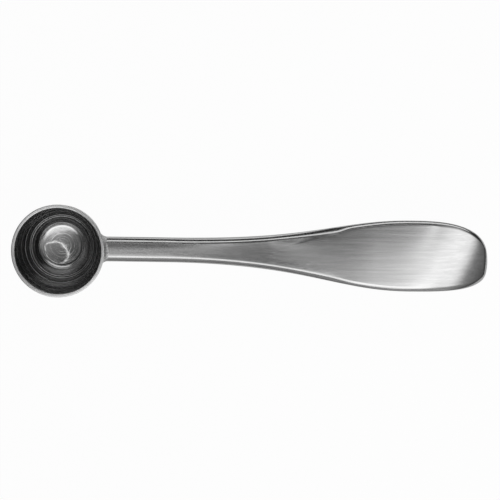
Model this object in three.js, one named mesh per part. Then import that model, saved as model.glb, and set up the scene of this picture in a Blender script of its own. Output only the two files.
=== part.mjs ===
// Measuring scoop: a drawn steel cup and a forged handle, joined by one weld under the cup's lip.
// Millimetres, +Z up. The origin is the middle of the cup's foot, and +X runs along the handle.
import * as THREE from 'three';

// Cup: a tapered wall that runs into a round bottom with a small flat foot.
const MOUTH_DIAMETER = 32.3; // inside the lip
const CUP_WALL = 1.25;
const WALL_DEPTH = 11; // tapered wall, from the lip to the start of the round bottom
const WALL_DRAFT = 5; // degrees that the wall leans in towards the bottom
const LIP_ROUND = 0.45; // radius on the lip's inner and outer edge
const FOOT_DIAMETER = 7;

// Handle: a crowned bar that spreads into a thin paddle with its end turned down.
const HANDLE_LENGTH = 143; // from the outside of the lip to the tip
const HANDLE_DROP = 5.8; // from the lip down to the middle of the handle's root
const HANDLE_RISE = 8.5; // from the root up to the crest of the paddle
const CREST_TO_TIP = 42;
const TIP_TURN = 6; // how far the tip is turned down below the crest
const TIP_SKEW = 0.35; // how far the line of the turn runs askew, along for each mm across
const TIP_OFFSET = -3; // sideways place of the tip's furthest point
const NECK_LENGTH = 24; // straight stretch, before the sides begin to spread
const NECK_WIDTH = 9.3;
const NECK_OFFSET = 0.5; // sideways place of the neck's middle
const NECK_THICKNESS = 3.6;
const NECK_CROWN = 0.55; // how far the top falls from its middle to its sides
const PADDLE_WIDTH = 26.5;
const PADDLE_THICKNESS = 2.1;
const PADDLE_CROWN = 0.35;
const PADDLE_END = 29; // from the paddle's widest place to the tip
const EDGE_ROUND = 1.9; // width of the rounded sides

// Weld: one fillet all round the handle's root.
const WELD_REACH = 1.7; // along the handle
const WELD_SPREAD = 1.3; // over the cup's wall
const WELD_HOLLOW = 0.4; // share of both that is left at the middle of the fillet
const WELD_TOE = 0.25; // blunt edge where the fillet runs out
const JOINT_GAP = 0.3; // left between pieces that are shaped to each other

// Shares of a stretch for which an S-curve stays level at its start and its end.
const SIDE_EASE = [0.6, 0.31];
const RISE_EASE = [0.55, 0.35];
// Exponents of the rounded end's outline, on the +Y and the -Y side, and of the sides' section: 2 is
// an ellipse, and less is nearer to a flat bevel.
const END_POWERS = [2.7, 3.5];
const SIDE_POWER = 1.6;
// Exponents of the tip's turn down from the crest, and of the fade of the hollow at the root.
const TURN_POWER = 4;
const HOLLOW_POWER = 4;
// The neck's crown narrows to a steep flank as the neck spreads: exponents at its two ends.
const FLANK_POWERS = [2, 7];
// Shares of the spreading stretch between which that flank fades out.
const FLANK_FADE = [0.62, 0.78];

// Facets
const CUP_SECTORS = 56;
const BOWL_STEPS = 18;
const LIP_STEPS = 4;
const SIDE_STEPS = 8;
const TOP_STEPS = 12;
const NECK_STATIONS = 8;
const SPREAD_STATIONS = 22;
const END_STATIONS = 16;
const SLOPE_STEP = 0.1; // half the stretch on which a slope is measured

// The cup's round bottom: inner and outer spheres share one centre on the axis.
const draft = THREE.MathUtils.degToRad(WALL_DRAFT);
const footRadius = FOOT_DIAMETER / 2;
const bowlRadius = (MOUTH_DIAMETER / 2 - WALL_DEPTH * Math.tan(draft)) / Math.cos(draft);
const outerBowlRadius = bowlRadius + CUP_WALL;
const bowlCentre = Math.sqrt(outerBowlRadius ** 2 - footRadius ** 2);
const lipHeight = bowlCentre + WALL_DEPTH - bowlRadius * Math.sin(draft);

// Radius of a tapered wall at a height, for a wall that runs into a sphere of the given radius.
function wallRadius(sphereRadius, height) {
  return (sphereRadius + (height - bowlCentre) * Math.sin(draft)) / Math.cos(draft);
}

// Outside radius of the cup at a height, on its wall or on its round bottom.
function cupRadius(height) {
  const wallStart = bowlCentre - outerBowlRadius * Math.sin(draft);
  if (height > wallStart) {
    return wallRadius(outerBowlRadius, height);
  }
  return Math.sqrt(outerBowlRadius ** 2 - (height - bowlCentre) ** 2);
}

// The cup is turned from a profile that runs up the outside, over the lip and down the inside.
function makeCup() {
  const lipCentre = lipHeight - LIP_ROUND;
  const outerLip = wallRadius(outerBowlRadius - LIP_ROUND, lipCentre);
  const innerLip = wallRadius(bowlRadius + LIP_ROUND, lipCentre);
  const footAngle = -Math.acos(footRadius / outerBowlRadius);
  const arc = (x, y, radius, from, to, steps) =>
    new THREE.EllipseCurve(x, y, radius, radius, from, to, to < from).getPoints(steps);
  const profile = [
    new THREE.Vector2(0, 0),
    ...arc(0, bowlCentre, outerBowlRadius, footAngle, -draft, BOWL_STEPS),
    ...arc(outerLip, lipCentre, LIP_ROUND, -draft, Math.PI / 2, LIP_STEPS),
    ...arc(innerLip, lipCentre, LIP_ROUND, Math.PI / 2, Math.PI - draft, LIP_STEPS),
    ...arc(0, bowlCentre, bowlRadius, -draft, -Math.PI / 2, BOWL_STEPS),
  ];
  return new THREE.LatheGeometry(profile, CUP_SECTORS).rotateX(Math.PI / 2);
}

// Places along the handle
const lipOuter = wallRadius(outerBowlRadius, lipHeight);
const rootHeight = lipHeight - HANDLE_DROP;
const rootX = cupRadius(rootHeight) + JOINT_GAP;
const tipX = lipOuter + HANDLE_LENGTH;
const spreadX = lipOuter + NECK_LENGTH;
const widestX = tipX - PADDLE_END;
const crestX = tipX - CREST_TO_TIP;

// S-curve from 0 at start to 1 at end, found by halving the range of the curve's parameter.
function sCurve(x, start, end, [easeStart, easeEnd]) {
  const length = end - start;
  const curve = new THREE.CubicBezierCurve(
    new THREE.Vector2(start, 0),
    new THREE.Vector2(start + easeStart * length, 0),
    new THREE.Vector2(end - easeEnd * length, 1),
    new THREE.Vector2(end, 1),
  );
  let low = 0;
  let high = 1;
  for (let i = 0; i < 40; i += 1) {
    const middle = (low + high) / 2;
    if (curve.getPoint(middle).x < x) {
      low = middle;
    } else {
      high = middle;
    }
  }
  return curve.getPoint(low).y;
}

// Height of the handle's middle: up to the crest, then turned down to the tip along an askew line.
function middleHeight(x, across) {
  const turn = Math.max(0, (x - crestX - TIP_SKEW * across) / CREST_TO_TIP);
  return rootHeight + HANDLE_RISE * sCurve(x, rootX, crestX, RISE_EASE) - TIP_TURN * turn ** TURN_POWER;
}

// Sizes of the handle's section at x.
function sizesAt(x) {
  const spread = sCurve(x, spreadX, widestX, SIDE_EASE);
  const along = THREE.MathUtils.clamp((x - spreadX) / (widestX - spreadX), 0, 1);
  const half = THREE.MathUtils.lerp(NECK_WIDTH, PADDLE_WIDTH, spread) / 2;
  const middle = NECK_OFFSET * (1 - spread);
  const end = Math.max(0, (x - widestX) / PADDLE_END);
  const [high, low] = END_POWERS.map((power) => (1 - end ** power) ** (1 / power));
  const nose = Math.min(1, (tipX - x) / EDGE_ROUND);
  const thickness = THREE.MathUtils.lerp(NECK_THICKNESS, PADDLE_THICKNESS, spread);
  return {
    high: TIP_OFFSET + (middle + half - TIP_OFFSET) * high,
    low: TIP_OFFSET + (middle - half - TIP_OFFSET) * low,
    thickness: thickness * Math.sqrt(nose * (2 - nose)),
    neckCrown: NECK_CROWN * (1 - THREE.MathUtils.smoothstep(along, ...FLANK_FADE)),
    flankPower: THREE.MathUtils.lerp(...FLANK_POWERS, along),
    paddleCrown: PADDLE_CROWN * spread,
    round: EDGE_ROUND,
  };
}

// Closed section of the handle as [sideways, up] points: crowned on top, flat below, bevelled sides.
function section({ high, low, thickness, neckCrown, flankPower, paddleCrown, round }) {
  const half = (high - low) / 2;
  const middle = (high + low) / 2;
  const side = Math.min(round, half);
  const bevel = (share) => Math.sign(share) * Math.abs(share) ** (2 / SIDE_POWER);
  const points = [];
  for (const sign of [1, -1]) {
    for (let i = 0; i <= SIDE_STEPS; i += 1) {
      const angle = Math.PI * (i / SIDE_STEPS - 0.5);
      const across = half - side + side * bevel(Math.cos(angle));
      points.push([sign * across, (sign * thickness * bevel(Math.sin(angle))) / 2]);
    }
    for (let i = 1; i < TOP_STEPS; i += 1) {
      points.push([sign * (half - side) * (1 - (2 * i) / TOP_STEPS), (sign * thickness) / 2]);
    }
  }
  return points.map(([across, up]) => {
    const share = Math.abs(across / half);
    const fall = neckCrown * share ** flankPower + paddleCrown * share ** 2;
    return [middle + across, up - fall * Math.max(0, (2 * up) / thickness)];
  });
}

// Closed mesh over rings of points, with fans on its two ends or with the last ring joined to the first.
function skin(rings, endPoints) {
  const count = rings[0].length;
  const points = [...rings.flat(), ...endPoints];
  const faces = [];
  const joins = endPoints.length ? rings.length - 1 : rings.length;
  for (let k = 0; k < joins; k += 1) {
    const here = k * count;
    const next = ((k + 1) % rings.length) * count;
    for (let i = 0; i < count; i += 1) {
      const j = (i + 1) % count;
      faces.push(here + i, next + j, next + i, here + i, here + j, next + j);
    }
  }
  endPoints.forEach((_, end) => {
    const apex = rings.length * count + end;
    const ring = end * (rings.length - 1) * count;
    for (let i = 0; i < count; i += 1) {
      const pair = [ring + i, ring + ((i + 1) % count)];
      faces.push(apex, pair[1 - end], pair[end]);
    }
  });
  const geometry = new THREE.BufferGeometry().setFromPoints(points);
  geometry.setIndex(faces);
  geometry.computeVertexNormals();
  return geometry;
}

// Distance along X from the cup's axis to a point that lies outside the cup's wall.
function outsideCup(across, height, distance) {
  return Math.sqrt((cupRadius(height) + distance) ** 2 - across ** 2);
}

// The handle is a loft of sections square to its middle line, with a root hollowed to the cup.
function makeHandle() {
  const steps = (from, to, count) =>
    Array.from({ length: count }, (_, i) => from + ((to - from) * i) / count);
  const quarter = steps(0, Math.PI / 2, END_STATIONS);
  const stations = [
    ...steps(rootX, spreadX, NECK_STATIONS),
    ...steps(spreadX, widestX, SPREAD_STATIONS),
    ...quarter.map((angle) => widestX + PADDLE_END * Math.sin(angle)),
  ];
  const rings = stations.map((x) => {
    const climb = middleHeight(x + SLOPE_STEP, 0) - middleHeight(x - SLOPE_STEP, 0);
    const slope = Math.atan2(climb, 2 * SLOPE_STEP);
    const hollow = Math.max(0, 1 - (x - rootX) / NECK_LENGTH) ** HOLLOW_POWER;
    return section(sizesAt(x)).map(([across, up]) => {
      const height = middleHeight(x, across) + up * Math.cos(slope);
      const saddle = hollow > 0 ? outsideCup(across, height, JOINT_GAP) - rootX : 0;
      return new THREE.Vector3(x - up * Math.sin(slope) + saddle * hollow, across, height);
    });
  });
  const root = new THREE.Vector3(outsideCup(NECK_OFFSET, rootHeight, JOINT_GAP), NECK_OFFSET, rootHeight);
  const tip = new THREE.Vector3(tipX, TIP_OFFSET, middleHeight(tipX, TIP_OFFSET));
  return skin(rings, [root, tip]);
}

// The weld is a fillet carried round the handle's root: each ring is one corner of its section.
function makeWeld() {
  const corners = [
    [0, 0],
    [0, WELD_SPREAD],
    [WELD_TOE, WELD_SPREAD],
    [WELD_HOLLOW * WELD_REACH, WELD_HOLLOW * WELD_SPREAD],
    [WELD_REACH, WELD_TOE],
    [WELD_REACH, 0],
  ];
  const root = sizesAt(rootX);
  const rings = corners.map(([away, thick]) => {
    const grow = thick + JOINT_GAP;
    const grown = {
      ...root,
      high: root.high + grow,
      low: root.low - grow,
      thickness: root.thickness + 2 * grow,
      round: root.round + grow,
    };
    return section(grown).map(([across, up]) => {
      const height = rootHeight + up;
      return new THREE.Vector3(outsideCup(across, height, JOINT_GAP + away), across, height);
    });
  });
  return skin(rings, []);
}

const brushed = { color: 0xb4b3b0, metalness: 1, roughness: 0.34 };
const polished = { color: 0xc4c3c0, metalness: 1, roughness: 0.14 };
const welded = { color: 0xa3a19c, metalness: 1, roughness: 0.42 };

function piece(name, geometry, finish) {
  const mesh = new THREE.Mesh(geometry, new THREE.MeshStandardMaterial(finish));
  mesh.name = name;
  return mesh;
}

const scoop = new THREE.Group();
scoop.name = 'measuring_scoop';
scoop.add(piece('cup', makeCup(), polished));
scoop.add(piece('handle', makeHandle(), brushed));
scoop.add(piece('weld_bead', makeWeld(), welded));

export default scoop;
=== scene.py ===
"""Measuring scoop: a polished steel cup and a brushed steel handle, joined by one weld."""

import math

import bpy
import numpy as np
from mathutils import Matrix, Vector


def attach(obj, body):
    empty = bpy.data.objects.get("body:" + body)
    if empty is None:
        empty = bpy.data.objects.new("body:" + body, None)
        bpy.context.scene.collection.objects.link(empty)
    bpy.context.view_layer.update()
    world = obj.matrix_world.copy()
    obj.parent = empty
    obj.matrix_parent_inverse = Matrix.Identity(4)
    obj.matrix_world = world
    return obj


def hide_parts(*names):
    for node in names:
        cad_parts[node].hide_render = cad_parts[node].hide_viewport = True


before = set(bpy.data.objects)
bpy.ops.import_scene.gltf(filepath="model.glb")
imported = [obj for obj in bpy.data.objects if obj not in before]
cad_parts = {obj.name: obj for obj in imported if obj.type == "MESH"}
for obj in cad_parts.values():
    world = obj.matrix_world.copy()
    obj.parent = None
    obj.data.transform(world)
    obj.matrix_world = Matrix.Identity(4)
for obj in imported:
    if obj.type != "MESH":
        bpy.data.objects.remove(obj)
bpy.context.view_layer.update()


# Cup
# A deep round-bottomed cup, drawn from stainless steel sheet, turned inside and then polished.
# Its wall leans out a little to a rounded lip. The bottom is flatter inside than a ball's, and a
# small flat under it lets the cup stand.

mm = 0.001
mouth_radius = 16.15 * mm
cup_wall = 1.25 * mm
wall_depth = 11 * mm
wall_draft = math.radians(5)
lip_round = 0.3 * mm
foot_radius = 3.5 * mm
foot_round = 1.5 * mm
flat_curve = 40 * mm
flat_start = 6 * mm
flat_end = 9.8 * mm
cup_sectors = 240

# Inside, the finish changes with the radius: a bright bottom, a satin ring round it and a wall whose grey
# is darkened as painted shade.
finish_radii = np.array([7, 8.2, 8.8, 10]) * mm
inner_greys_with_painted_shade = [0.6, 0.6, 0.6, 0.27]
inner_satin = [0.06, 0.16, 0.16, 0.03]
outer_grey = 0.62
outer_satin = 0.16

# The lip, the grooves and the fine lines that the turning left are rougher, and their grey is raised as a
# painted highlight. A groove's widths are in millimetres along the cup's section, where it is full and
# where it has run out.
# A line starts at the first of its two heights of a noise, and is full at the second.
groove_radii = np.array([11.5, 12.1, 13.6, 14.8]) * mm
groove_full = 0.09
groove_end = 0.22
line_heights = (0.58, 0.72)
line_share = 0.35
mark_painted_highlight_grey = 0.95
mark_roughness = 0.28
mark_depth = 0.08 * mm
turning_depth = 0.018 * mm
dent_depth = 0.2 * mm
full_bump = 1
soft_bump = 0.5

bowl_radius = (mouth_radius - wall_depth * math.tan(wall_draft)) / math.cos(wall_draft)
outer_bowl_radius = bowl_radius + cup_wall
bowl_centre = math.sqrt(outer_bowl_radius**2 - foot_radius**2)
lip_height = bowl_centre + wall_depth - bowl_radius * math.sin(wall_draft)


def wall_radius(sphere_radius, height):
    """Radius of a tapered wall that runs into a sphere on the cup's axis: the sphere's radius plus
    the rise over its centre times the sine of the draft, all over the cosine of the draft."""
    return (sphere_radius + (height - bowl_centre) * math.sin(wall_draft)) / math.cos(wall_draft)


def arc(centre, radius, start, end, count):
    """Points on a circle: the centre plus the radius times the cosine and sine of even angles."""
    angle = np.linspace(start, end, count)
    return np.stack([centre[0] + radius * np.cos(angle), centre[1] + radius * np.sin(angle)], 1)


def line(start, end, count):
    """Points between two places: the start plus even shares of the way, without the two ends."""
    share = np.linspace(0, 1, count + 2)[1:-1, None]
    return np.array(start) + share * (np.array(end) - np.array(start))


def smooth_step(x, start, end):
    """0 before start and 1 after end: three times the share squared, less twice its cube."""
    share = np.clip((x - start) / (end - start), 0, 1)
    return share**2 * (3 - 2 * share)


def flat_lift(radius):
    """Lift of the flattened bottom over the inner circle. Its slope runs from the radius over the
    flat's own radius to that of the circle, on a smooth step, and is summed inwards from the circle."""
    reach = np.linspace(0, flat_end, 400)
    circle_slope = reach / np.sqrt(bowl_radius**2 - reach**2)
    loss = (circle_slope - reach / flat_curve) * (1 - smooth_step(reach, flat_start, flat_end))
    lift = np.cumsum(loss[::-1])[::-1] * (reach[1] - reach[0])
    return np.interp(radius, reach, lift, right=0)


def cup_profile():
    """Radius and height along the cup's section: out over the foot, up the outer circle and wall,
    over the lip's two rounds, down the inner wall and along the inner circle to near the axis. The
    round at the foot's edge touches the flat and the outer circle from inside."""
    lip_middle = lip_height - lip_round
    outer_lip = (wall_radius(outer_bowl_radius - lip_round, lip_middle), lip_middle)
    inner_lip = (wall_radius(bowl_radius + lip_round, lip_middle), lip_middle)
    foot_rise = foot_round - bowl_centre
    foot_reach = math.sqrt((outer_bowl_radius - foot_round) ** 2 - foot_rise**2)
    foot_angle = math.atan2(foot_rise, foot_reach)
    near_axis = -0.495 * math.pi
    foot_bend = arc((foot_reach, foot_round), foot_round, -math.pi / 2, foot_angle, 12)
    outside = arc((0, bowl_centre), outer_bowl_radius, foot_angle, -wall_draft, 70)
    outer_round = arc(outer_lip, lip_round, -wall_draft, math.pi / 2, 12)
    inner_round = arc(inner_lip, lip_round, math.pi / 2, math.pi - wall_draft, 12)
    hollow = arc((0, bowl_centre), bowl_radius, -wall_draft, near_axis, 120)
    hollow[:, 1] += flat_lift(hollow[:, 0])
    return np.concatenate(
        [
            line((0, 0), foot_bend[0], 6),
            foot_bend,
            outside[1:],
            line(outside[-1], outer_round[0], 24),
            outer_round,
            inner_round,
            line(inner_round[-1], hollow[0], 30),
            hollow,
        ]
    )


def turned(profile, sectors):
    """Rings of a turned piece: each profile point's radius times the cosine and sine of even
    angles round the axis, at its own height."""
    angle = np.linspace(0, 2 * math.pi, sectors, endpoint=False)
    radius, height = profile[:, :1], profile[:, 1:]
    return np.stack([radius * np.cos(angle), radius * np.sin(angle), height + 0 * angle], -1)


def skin(name, rings, poles):
    """Closed mesh over rings of points. Each quad joins two neighbours on a ring to the same two on
    the next. A fan closes each end onto its pole, or the last ring joins the first where there are
    no poles. U of the UV map is the share of the way round a ring, and V the share along the rings."""
    rows, count = rings.shape[:2]
    joins = rows - 1 if poles else rows
    row, column = np.meshgrid(np.arange(joins), np.arange(count), indexing="ij")
    steps = [(row, column), (row, column + 1), (row + 1, column + 1), (row + 1, column)]
    quads = np.stack([(r % rows) * count + c % count for r, c in steps], -1)
    faces = quads.reshape(-1, 4).tolist()
    corners = [np.stack([c / count, (r + 1) / (rows + 1)], -1) for r, c in steps]
    uv = [np.stack(corners, -2).reshape(-1, 2)]
    here = np.arange(count)
    for end in range(len(poles)):
        apex = np.full(count, rows * count + end)
        ring = end * (rows - 1) * count
        first, second = (here, here + 1) if end else (here + 1, here)
        faces += np.stack([apex, ring + first % count, ring + second % count], -1).tolist()
        level = (1 + end * (rows - 1)) / (rows + 1)
        fan = [((here + 0.5) / count, end), (first / count, level), (second / count, level)]
        corners = [np.stack([u, np.full(count, v)], -1) for u, v in fan]
        uv.append(np.stack(corners, -2).reshape(-1, 2))
    mesh = bpy.data.meshes.new(name)
    mesh.from_pydata(rings.reshape(-1, 3).tolist() + [list(pole) for pole in poles], [], faces)
    layer = mesh.uv_layers.new(name="UVMap")
    layer.uv.foreach_set("vector", np.concatenate(uv).ravel().astype(np.float32))
    mesh.shade_smooth()
    piece = bpy.data.objects.new(name, mesh)
    bpy.context.scene.collection.objects.link(piece)
    return piece


def mark(piece, name, values):
    """Keeps one number for each point of a piece, which its material reads by name."""
    layer = piece.data.attributes.new(name, "FLOAT", "POINT")
    layer.data.foreach_set("value", np.asarray(values, np.float32).ravel())


def mark_cup(name, values, poles):
    """Marks the cup with one number for each ring, the same all round it, and one for each pole."""
    mark(cup, name, np.append(np.repeat(values, cup_sectors), poles))


def steel(name, finish):
    """New metal material. The finish sets the shader's own sockets."""
    material = bpy.data.materials.new(name)
    material.use_nodes = True
    shader = material.node_tree.nodes["Principled BSDF"]
    shader.inputs["Metallic"].default_value = 1
    for socket, value in finish.items():
        shader.inputs[socket].default_value = value
    return material


def dress(piece, material, sockets):
    """Links each named socket of a material's shader to an output, and puts the material on a piece."""
    tree = material.node_tree
    for socket, output in sockets.items():
        tree.links.new(output, tree.nodes["Principled BSDF"].inputs[socket])
    piece.data.materials.append(material)


def node(tree, kind, inputs=(), **settings):
    """Adds a node. Each input is a value, or the output of another node, which is then linked."""
    new = tree.nodes.new("ShaderNode" + kind)
    for setting, value in settings.items():
        setattr(new, setting, value)
    for socket, value in dict(inputs).items():
        if isinstance(value, bpy.types.NodeSocket):
            tree.links.new(value, new.inputs[socket])
        else:
            new.inputs[socket].default_value = value
    return new


def attribute(tree, name):
    """The number that each point of a piece keeps under a name."""
    return node(tree, "Attribute", attribute_name=name).outputs["Fac"]


def noise(tree, inputs, **settings):
    """Height of a noise, around a half, at the place or the length that the inputs give."""
    return node(tree, "TexNoise", inputs, **settings).outputs["Fac"]


def maths(tree, operation, *values):
    """Result of an operation on one or two values or outputs."""
    return node(tree, "Math", dict(enumerate(values)), operation=operation).outputs[0]


def between(tree, share, first, second):
    """A number between two: the first, plus a share of the way to the second."""
    return node(tree, "Mix", {"Factor": share, "A": first, "B": second}).outputs["Result"]


def spread(tree, value, low, high, start=0.3, end=0.7, **settings):
    """Spreads the stretch of a value from start to end over low to high, and holds it level outside.
    Left alone, the stretch is the middle of a noise."""
    sockets = {"Value": value, "From Min": start, "From Max": end, "To Min": low, "To Max": high}
    return node(tree, "MapRange", sockets, **settings).outputs["Result"]


def bump(tree, height, strength, depth, below=None, **settings):
    """Normal of a surface that a height between 0 and 1, times a depth, lifts over the bump below."""
    sockets = {"Height": height, "Strength": strength, "Distance": depth}
    if below is not None:
        sockets["Normal"] = below
    return node(tree, "Bump", sockets, **settings).outputs["Normal"]


cup_points = cup_profile()
cup_poles = [(0, 0, 0), (0, 0, bowl_centre - bowl_radius + float(flat_lift(0)))]
cup = skin("polished_cup", turned(cup_points, cup_sectors), cup_poles)

# The cup's points keep their length along the section in millimetres, how far they are up the lip's round,
# whether they are inside, and the grey and the roughness of their finish; the grey is darkened on the
# inner wall as painted shade.
step = np.linalg.norm(np.diff(cup_points, axis=0, prepend=cup_points[:1]), axis=1)
profile_length = np.cumsum(step) / mm
lip_share = np.clip((cup_points[:, 1] - lip_height + lip_round) / lip_round, 0, 1)
inside = np.arange(len(cup_points)) > np.argmax(cup_points[:, 1])
mark_cup("ring", profile_length, [0, profile_length[-1]])
mark_cup("lip", lip_share, [0, 0])
mark_cup("inside", inside, [0, 1])
for name, inner, outer in (("grey_with_painted_shade", inner_greys_with_painted_shade, outer_grey), ("satin", inner_satin, outer_satin)):
    by_radius = np.interp(cup_points[:, 0], finish_radii, inner)
    mark_cup(name, np.where(inside, by_radius, outer), [outer, inner[0]])

cup_steel = steel("polished cup steel", {"Anisotropic": 0.8, "Anisotropic Rotation": 0.25})
tree = cup_steel.node_tree
place = node(tree, "TexCoord").outputs["Object"]
ring = attribute(tree, "ring")
ring_noise = noise(tree, {"W": ring, "Scale": 2.4, "Detail": 1}, noise_dimensions="1D")
lines = spread(tree, ring_noise, 0, line_share, *line_heights)
inner_lines = maths(tree, "MULTIPLY", attribute(tree, "inside"), lines)
marks = maths(tree, "MAXIMUM", attribute(tree, "lip"), inner_lines)
inner_radius = cup_points[inside, 0][::-1]
inner_length = profile_length[inside][::-1]
for groove_length in np.interp(groove_radii, inner_radius, inner_length).tolist():
    away = maths(tree, "ABSOLUTE", maths(tree, "SUBTRACT", ring, groove_length))
    marks = maths(tree, "MAXIMUM", marks, spread(tree, away, 1, 0, groove_full, groove_end))
turning = noise(tree, {"W": ring, "Scale": 1.3, "Detail": 6, "Roughness": 0.6}, noise_dimensions="1D")
dents = noise(tree, {"Vector": place, "Scale": 170, "Detail": 2, "Roughness": 0.5})
normal = bump(tree, turning, soft_bump, turning_depth)
normal = bump(tree, marks, full_bump, mark_depth, normal, invert=True)
normal = bump(tree, dents, soft_bump, dent_depth, normal)
cup_finish = {
    # Base colour: the steel's grey, darkened on the inner wall as painted shade and raised on the lip,
    # grooves and lines as a painted highlight.
    "Base Color": between(tree, marks, attribute(tree, "grey_with_painted_shade"), mark_painted_highlight_grey),
    "Roughness": between(tree, marks, attribute(tree, "satin"), mark_roughness),
    "Normal": normal,
    "Tangent": node(tree, "Tangent", direction_type="UV_MAP").outputs["Tangent"],
}
dress(cup, cup_steel, cup_finish)
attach(cup, "root")
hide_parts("cup")


# Handle
# One forged steel bar: a crowned neck that spreads into a thin paddle with its end turned down.
# A crease runs along its far flank, which bends down past it. It is brushed from end to end, and
# its rounded sides are polished.

handle_length = 143 * mm
handle_drop = 5.8 * mm
handle_rise = 8.5 * mm
rise_ease = (0.55, 0.35)
crest_to_tip = 42 * mm
tip_turn = 6 * mm
tip_offset = -3 * mm
tip_skew = 0.35
neck_length = 24 * mm
neck_width = 9.3 * mm
neck_offset = 0.5 * mm
neck_thickness = 3.6 * mm
neck_crown = 0.62 * mm
neck_crown_power = 2
neck_edge_round = 2.3 * mm
neck_side_power = 2
paddle_width = 26.5 * mm
paddle_ease = (0.6, 0.31)
paddle_thickness = 2.1 * mm
paddle_crown = 0.35 * mm
paddle_crown_power = 9
paddle_end = 29 * mm
far_end_power = 2.7
near_end_power = 3.5
edge_round = 1.9 * mm
paddle_side_power = 1.6
crown_fade = (0.66, 0.78)
root_sink = 0.4 * mm
slope_step = 0.1 * mm

dark_grain = 0.51
light_grain = 0.63
grain_heights = (0.12, 0.4)
brushed_roughness = (0.15, 0.21)
polished_roughness = 0.12
side_blend = 0.03
nose_polish_start = 1.5 * edge_round
nose_polish_full = edge_round / 3
scratch_strength = 0.1
scratch_depth = 0.02 * mm
fine_grain = (60, 2600, 2600)
wide_grain = (25, 800, 800)

lip_outer = wall_radius(outer_bowl_radius, lip_height)
root_height = lip_height - handle_drop
tip_x = lip_outer + handle_length
spread_x = lip_outer + neck_length
widest_x = tip_x - paddle_end
crest_x = tip_x - crest_to_tip

# The flank's crease ends at the rounded side, and lies further in the further it is from its end.
flank_bend = 0.44 * mm
flank_reach = 1.8 * mm
crease_taper = 0.118
crease_end_x = crest_x - 10 * mm
bend_start_x = crease_end_x - 30 * mm
bend_full_x = crease_end_x - 13 * mm
bend_fade_x = crease_end_x - 5 * mm
bend_end_x = crease_end_x + 1 * mm


def cup_radius(height):
    """Outside radius of the cup at a height: that of the tapered wall or, below its start, the root
    of the bowl's radius squared less the height over its centre squared."""
    wall_start = bowl_centre - outer_bowl_radius * math.sin(wall_draft)
    bowl_rise = np.minimum(height, wall_start) - bowl_centre
    bowl = np.sqrt(outer_bowl_radius**2 - bowl_rise**2)
    return np.where(height > wall_start, wall_radius(outer_bowl_radius, height), bowl)


def outside_cup(across, height, distance):
    """Distance along X from the axis to a point off the cup's wall: the root of the wall's radius
    and the distance, squared, less the way across, squared."""
    return np.sqrt(np.maximum((cup_radius(height) + distance) ** 2 - across**2, 0))


def s_curve(x, start, end, ease_start, ease_end):
    """S-curve from 0 to 1 with level ends. Its way along and its rise are cubics of one parameter,
    drawn by level tangents of the given shares of the stretch, and the rise is read off at x."""
    t = np.linspace(0, 1, 4000)
    along = 3 * (1 - t) ** 2 * t * ease_start + 3 * (1 - t) * t**2 * (1 - ease_end) + t**3
    return np.interp((x - start) / (end - start), along, 3 * (1 - t) * t**2 + t**3)


root_x = float(cup_radius(root_height)) - root_sink


def middle_height(x, across=0):
    """Height of the handle's middle: the root's height plus the rise on an S-curve, less the turn of
    the tip times the fourth power of the way past the crest, which runs askew of the handle."""
    rise = handle_rise * s_curve(x, root_x, crest_x, *rise_ease)
    past_crest = np.maximum(0, (x - crest_x - tip_skew * across) / crest_to_tip)
    return root_height + rise - tip_turn * past_crest**4


# One way round a section: +Y side, top, -Y side and underside. Each point is a share of the flat
# width, a share of the rounded side and a share of half the thickness.
side_angle = np.linspace(-math.pi / 2, math.pi / 2, 31)
top_share = np.linspace(1, -1, 72)[1:-1]
under_share = np.linspace(-1, 1, 46)[1:-1]
flat_share = np.concatenate([side_angle * 0 + 1, top_share, side_angle * 0 - 1, under_share])
side_out = np.concatenate([np.cos(side_angle), top_share * 0, -np.cos(side_angle), under_share * 0])
side_up = np.concatenate([np.sin(side_angle), top_share * 0 + 1, -np.sin(side_angle), under_share * 0 - 1])


def section(high, low, thickness, crown, power, dish, rounding, side_power, bend, crease):
    """Places across and up of a section: shares of its flat half width, its sides and half its
    thickness. A side is a superellipse: the cosine and sine of its angle to the power of two over
    the side's power. The top is lowered by the crown times a power of the share across, and by the
    dish times its square. The +Y flank bends down past a crease that lies in from its edge: the bend
    times one less the exponential of minus the way past the crease over the flank's reach. Sizes are
    columns, one row for each section."""
    half = (high - low) / 2
    side = np.minimum(rounding, half)
    side_share = np.sign(side_out) * np.abs(side_out) ** (2 / side_power)
    up_share = np.sign(side_up) * np.abs(side_up) ** (2 / side_power)
    across = (half - side) * flat_share + side * side_share
    share = np.abs(across) / half
    fall = (crown * share**power + dish * share**2) * np.maximum(0, up_share)
    past_crease = np.maximum(0, across - half + crease)
    bent = bend * (1 - np.exp(-past_crease / flank_reach))
    return (high + low) / 2 + across, up_share * thickness / 2 - fall - bent


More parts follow.
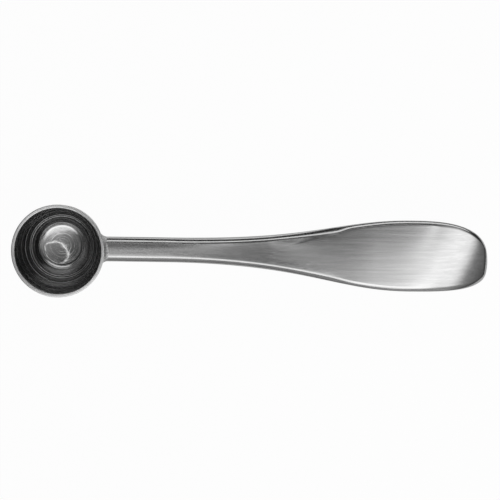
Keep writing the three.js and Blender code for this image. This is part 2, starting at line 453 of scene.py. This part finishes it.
def handle_sizes(x):
    """Sizes of the handle's sections: an S-curve from neck to paddle for most of them, an even run
    for the crown's power, and smooth steps for where the crown ends and where the flank's bend starts
    and ends. On each side of the rounded end the width follows a superellipse about the tip's own
    place, and the thickness a quarter circle at the nose."""
    grown = s_curve(x, spread_x, widest_x, *paddle_ease)
    along = np.clip((x - spread_x) / (widest_x - spread_x), 0, 1)
    half = (neck_width + (paddle_width - neck_width) * grown) / 2
    middle = neck_offset * (1 - grown)
    end = np.clip((x - widest_x) / paddle_end, 0, 1)
    far_end = (1 - end**far_end_power) ** (1 / far_end_power)
    near_end = (1 - end**near_end_power) ** (1 / near_end_power)
    nose = np.minimum(1, (tip_x - x) / edge_round)
    thickness = neck_thickness + (paddle_thickness - neck_thickness) * grown
    rounding = neck_edge_round + (edge_round - neck_edge_round) * grown
    bend_grown = smooth_step(x, bend_start_x, bend_full_x)
    bend_left = 1 - smooth_step(x, bend_fade_x, bend_end_x)
    return {
        "high": tip_offset + (middle + half - tip_offset) * far_end,
        "low": tip_offset + (middle - half - tip_offset) * near_end,
        "thickness": thickness * np.sqrt(nose * (2 - nose)),
        "crown": neck_crown * (1 - smooth_step(along, *crown_fade)),
        "power": neck_crown_power + (paddle_crown_power - neck_crown_power) * along,
        "dish": paddle_crown * grown,
        "rounding": rounding,
        "side_power": neck_side_power + (paddle_side_power - neck_side_power) * grown,
        "bend": flank_bend * bend_grown * bend_left,
        "crease": rounding + crease_taper * np.maximum(0, crease_end_x - x),
    }


def handle_rings():
    """Loft of sections square to the middle line: each point is moved back by its height times the
    sine of the slope and up by its cosine. Near the root the points are drawn on to the cup's wall,
    by the fourth power of the share of the neck that is left."""
    near_tip = 0.4985 * math.pi
    shaft = np.linspace(root_x, widest_x, 330, endpoint=False)
    end = widest_x + paddle_end * np.sin(np.linspace(0, near_tip, 84))
    x = np.concatenate([shaft, end])[:, None]
    across, up = section(**handle_sizes(x))
    climb = middle_height(x + slope_step) - middle_height(x - slope_step)
    slope = np.arctan2(climb, 2 * slope_step)
    height = middle_height(x, across) + up * np.cos(slope)
    hollow = np.maximum(0, 1 - (x - root_x) / neck_length) ** 4
    saddle = (outside_cup(across, height, -root_sink) - root_x) * hollow
    return np.stack([x - up * np.sin(slope) + saddle, across, height], -1)


def greys(tree, share, stops):
    """Ramp of greys: each stop is a share and its grey, with an even run between two stops."""
    ramp = node(tree, "ValToRGB", {"Fac": share})
    elements = ramp.color_ramp.elements
    for position, grey in stops[1:-1]:
        elements.new(position)
    for element, (position, grey) in zip(elements, stops):
        element.position = position
        element.color = (grey, grey, grey, 1)
    return ramp.outputs["Color"]


loft = handle_rings()
root_pole = (float(outside_cup(neck_offset, root_height, -root_sink)), neck_offset, root_height)
tip_pole = (tip_x, tip_offset, float(middle_height(tip_x, tip_offset)))
handle = skin("brushed_handle", loft, [root_pole, tip_pole])
polished_side = smooth_step(np.abs(side_out), 0, side_blend)
polished_nose = smooth_step(loft[..., 0], tip_x - nose_polish_start, tip_x - nose_polish_full)
mark(handle, "side_polish", np.append(np.maximum(polished_side, polished_nose), [0, 1]))

handle_steel = steel("brushed handle steel", {"Anisotropic": 0.8})
tree = handle_steel.node_tree
place = node(tree, "TexCoord").outputs["Object"]
fine_place = node(tree, "Mapping", {"Vector": place, "Scale": fine_grain}).outputs[0]
wide_place = node(tree, "Mapping", {"Vector": place, "Scale": wide_grain}).outputs[0]
grain = noise(tree, {"Vector": fine_place, "Scale": 1, "Detail": 5, "Roughness": 0.65})
streaks = noise(tree, {"Vector": wide_place, "Scale": 1, "Detail": 3})
polish = attribute(tree, "side_polish")
shade = spread(tree, maths(tree, "MULTIPLY", grain, streaks), 0, 1, *grain_heights)
brushed = spread(tree, grain, *brushed_roughness)
scratches = maths(tree, "MULTIPLY", maths(tree, "SUBTRACT", 1, polish), scratch_strength)
handle_finish = {
    "Base Color": greys(tree, shade, [(0, dark_grain), (1, light_grain)]),
    "Roughness": between(tree, polish, brushed, polished_roughness),
    "Normal": bump(tree, grain, scratches, scratch_depth),
    "Tangent": node(tree, "Tangent", direction_type="UV_MAP").outputs["Tangent"],
}
dress(handle, handle_steel, handle_finish)
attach(handle, "root")
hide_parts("handle")


# Weld
# The bead of weld metal all round the handle's root, which fuses it to the cup's wall under the lip.
# It is rippled where each drop of metal set, and lightly buffed.

weld_reach = 1.7 * mm
weld_spread = 1.3 * mm
weld_sink = 0.4 * mm
ripple_count = 20
slow_ripples = (3, 2)
ripple_height = 0.1
dark_weld = 0.3
light_weld = 0.95
weld_roughness = (0.22, 0.42)
lump_depth = 0.25 * mm


def weld_rings():
    """A fillet carried round the handle's root. Its section is a corner sunk in both pieces and a
    hollow curve between them: reach times the cube of a cosine along the handle and spread times
    that of a sine up the cup. Ripples scale it: one, plus their height times half the sum of three
    waves of the way round, each with a whole number of ripples."""
    turn = np.linspace(math.pi / 2, 0, 14)[:, None]
    root = handle_sizes(np.array([[root_x]]))
    outline = np.concatenate(section(**root))
    way = np.cumsum(np.linalg.norm(outline - np.roll(outline, 1, axis=1), axis=0))
    lap = 2 * math.pi * way / way[-1]
    waves = np.sin(ripple_count * lap) + np.sin(slow_ripples[0] * lap) + np.cos(slow_ripples[1] * lap)
    ripple = 1 + ripple_height * waves / 2
    reach = weld_reach * np.cos(turn) ** 3 * ripple
    thick = weld_spread * np.sin(turn) ** 3 * ripple
    sunk = np.full((1, len(flat_share)), -weld_sink)
    away = np.concatenate([sunk, sunk, reach, reach[-1:]])
    off = np.concatenate([sunk, thick[:1], thick, sunk])
    bead = {
        "high": root["high"] + off,
        "low": root["low"] - off,
        "thickness": root["thickness"] + 2 * off,
        "rounding": root["rounding"] + off,
    }
    across, up = section(**{**root, **bead})
    height = root_height + up
    return np.stack([outside_cup(across, height, away), across, height], -1)


weld = skin("weld_fillet", weld_rings(), [])
weld_steel = steel("buffed weld metal", {})
tree = weld_steel.node_tree
place = node(tree, "TexCoord").outputs["Object"]
mottle = noise(tree, {"Vector": place, "Scale": 1000, "Detail": 5, "Roughness": 0.65})
weld_finish = {
    "Base Color": greys(tree, spread(tree, mottle, 0, 1), [(0, dark_weld), (1, light_weld)]),
    "Roughness": spread(tree, mottle, *weld_roughness),
    "Normal": bump(tree, mottle, full_bump, lump_depth),
}
dress(weld, weld_steel, weld_finish)
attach(weld, "root")
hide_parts("weld_bead")


# Floor
# A plain sweep of white paper. The camera sees it lit, with a little of the object's soft shadow
# left in it, and the steel mirrors a quarter of its white.

floor_size = 8
floor_white = 0.97
floor_mirrored = 0.25
paper_grey = 0.9
paper_roughness = 0.9

half = floor_size / 2
floor_corners = [(-half, -half, 0), (half, -half, 0), (half, half, 0), (-half, half, 0)]
sheet = bpy.data.meshes.new("floor")
sheet.from_pydata(floor_corners, [], [(0, 1, 2, 3)])
floor = bpy.data.objects.new("floor", sheet)
bpy.context.scene.collection.objects.link(floor)
paper = bpy.data.materials.new("white paper")
paper.use_nodes = True
tree = paper.node_tree
matte = tree.nodes["Principled BSDF"]
matte.inputs["Base Color"].default_value = (paper_grey, paper_grey, paper_grey, 1)
matte.inputs["Roughness"].default_value = paper_roughness
glow = node(tree, "Emission", {"Color": (1, 1, 1, 1), "Strength": 1})
rays = node(tree, "LightPath").outputs
mirrored = maths(tree, "MULTIPLY", rays["Is Glossy Ray"], floor_mirrored)
seen = maths(tree, "MAXIMUM", rays["Is Camera Ray"], mirrored)
seen = maths(tree, "MAXIMUM", seen, rays["Is Transmission Ray"])
lit_share = maths(tree, "MULTIPLY", seen, floor_white)
lit_paper = node(tree, "MixShader", {0: lit_share, 1: matte.outputs[0], 2: glow.outputs[0]})
tree.links.new(lit_paper.outputs[0], tree.nodes["Material Output"].inputs["Surface"])
sheet.materials.append(paper)


# Camera
# Nearly straight above the handle, leaning a little to its far side, with a long lens.
# It is rolled a little about its own axis, which tips the handle in the picture.

camera_distance = 860 * mm
camera_target = Vector((71.66, 1.23, 25)) * mm
camera_lean = math.radians(5.5)
camera_roll = math.radians(0.696)
lens_length = 166.14
clip_start = 10 * mm

toward = Vector((0, math.tan(camera_lean), 1)).normalized()
right = Vector((0, 1, 0)).cross(toward).normalized()
up = toward.cross(right)
rolled_right = math.cos(camera_roll) * right + math.sin(camera_roll) * up
rolled_up = math.cos(camera_roll) * up - math.sin(camera_roll) * right
lens = bpy.data.cameras.new("camera")
lens.lens = lens_length
lens.clip_start = clip_start
camera = bpy.data.objects.new("camera", lens)
camera_turn = Matrix((rolled_right, rolled_up, toward)).transposed().to_4x4()
camera.matrix_world = Matrix.Translation(camera_target + camera_distance * toward) @ camera_turn
bpy.context.scene.collection.objects.link(camera)
bpy.context.scene.camera = camera
bpy.context.scene.view_settings.view_transform = "Standard"


# Studio light
# A grey room that is lighter overhead and on the near side. Soft boxes hang by the paddle's end and
# high on the near and the far side, a lit card stands low on each of those sides, and a ring lamp
# sits round the lens.

room_light = (0.3, -0.5, 0.81)
room_levels = [(0.2, 0.03), (0.5, 0.045), (0.6, 0.07), (0.7, 0.12), (0.81, 0.22), (0.95, 0.36)]
ring_radius = 0.25
ring_radiance = 1.1
ring_inner = 0.84
ring_full = 0.9
lamp_middle = 0.5
mirror_bounces = 16

room = bpy.data.worlds.new("grey studio")
bpy.context.scene.world = room
room.use_nodes = True
tree = room.node_tree
sky = node(tree, "TexCoord").outputs["Generated"]
toward_light = node(tree, "VectorMath", {0: sky, 1: room_light}, operation="DOT_PRODUCT").outputs["Value"]
tree.links.new(greys(tree, toward_light, room_levels), tree.nodes["Background"].inputs["Color"])


def area_lamp(name, shape, length, width, power):
    """Flat lamp of a shape and size that faces down, with the node tree that says where it is lit.
    A place on it runs from 0 to 1 along its length and its width."""
    light = bpy.data.lights.new(name, "AREA")
    light.shape = shape
    light.size, light.size_y = length, width
    light.energy = power
    light.use_nodes = True
    lamp = bpy.data.objects.new(name, light)
    bpy.context.scene.collection.objects.link(lamp)
    return lamp, light.node_tree


def soft_box(name, place, length, width, radiance, edge, lean=0, turn=0):
    """Rectangular lamp that leans about X and turns about Z, in degrees. Its power is radiance times
    pi times its area. It fades over its edge: a smooth step of the way in from the nearer end, times
    one of the way in from the nearer side, each as a share of the lamp."""
    box, tree = area_lamp(name, "RECTANGLE", length, width, radiance * math.pi * length * width)
    box.location = place
    box.rotation_euler = (math.radians(lean), 0, math.radians(turn))
    spot = node(tree, "SeparateXYZ", {0: node(tree, "NewGeometry").outputs["Parametric"]}).outputs
    fades = []
    for axis in ("X", "Y"):
        off_middle = maths(tree, "ABSOLUTE", maths(tree, "SUBTRACT", spot[axis], lamp_middle))
        way_in = maths(tree, "SUBTRACT", lamp_middle, off_middle)
        fades.append(spread(tree, way_in, 0, 1, 0, edge, interpolation_type="SMOOTHSTEP"))
    tree.links.new(maths(tree, "MULTIPLY", *fades), tree.nodes["Emission"].inputs["Strength"])


soft_box("end_box", (0.216, -0.024, 0.15), length=0.2, width=0.23, radiance=1.2, edge=0.42, turn=-35)
soft_box("near_box", (0, -0.495, 0.72), length=1, width=0.6, radiance=1.2, edge=0.25, turn=16)
soft_box("near_card", (0.07, -0.6, 0.25), length=1.1, width=0.42, radiance=0.2, edge=0.2, lean=90)
soft_box("far_box", (0.4, 0.66, 0.72), length=1.8, width=0.4, radiance=1.15, edge=0.17)
soft_box("far_card", (0.5, 0.72, 0.12), length=2, width=0.24, radiance=0.9, edge=0.15, lean=-80)

# The ring's power is radiance times pi times the disk's area. It is lit where the way from the
# middle, as a share of the radius, is past its inner edge.
ring_power = ring_radiance * math.pi * math.pi * ring_radius**2
ring_lamp, tree = area_lamp("ring_lamp", "DISK", 2 * ring_radius, 2 * ring_radius, ring_power)
ring_lamp.matrix_world = camera.matrix_world
middle = (lamp_middle, lamp_middle, 0)
to_radii = (1 / lamp_middle, 1 / lamp_middle, 0)
spot = node(tree, "NewGeometry").outputs["Parametric"]
off_middle = node(tree, "VectorMath", {0: spot, 1: middle}, operation="SUBTRACT").outputs[0]
in_radii = node(tree, "VectorMath", {0: off_middle, 1: to_radii}, operation="MULTIPLY").outputs[0]
from_middle = node(tree, "VectorMath", {0: in_radii}, operation="LENGTH").outputs["Value"]
tube = spread(tree, from_middle, 0, 1, ring_inner, ring_full, interpolation_type="SMOOTHSTEP")
tree.links.new(tube, tree.nodes["Emission"].inputs["Strength"])

# Light is mirrored many times inside the cup.
bpy.context.scene.cycles.max_bounces = mirror_bounces
bpy.context.scene.cycles.glossy_bounces = mirror_bounces
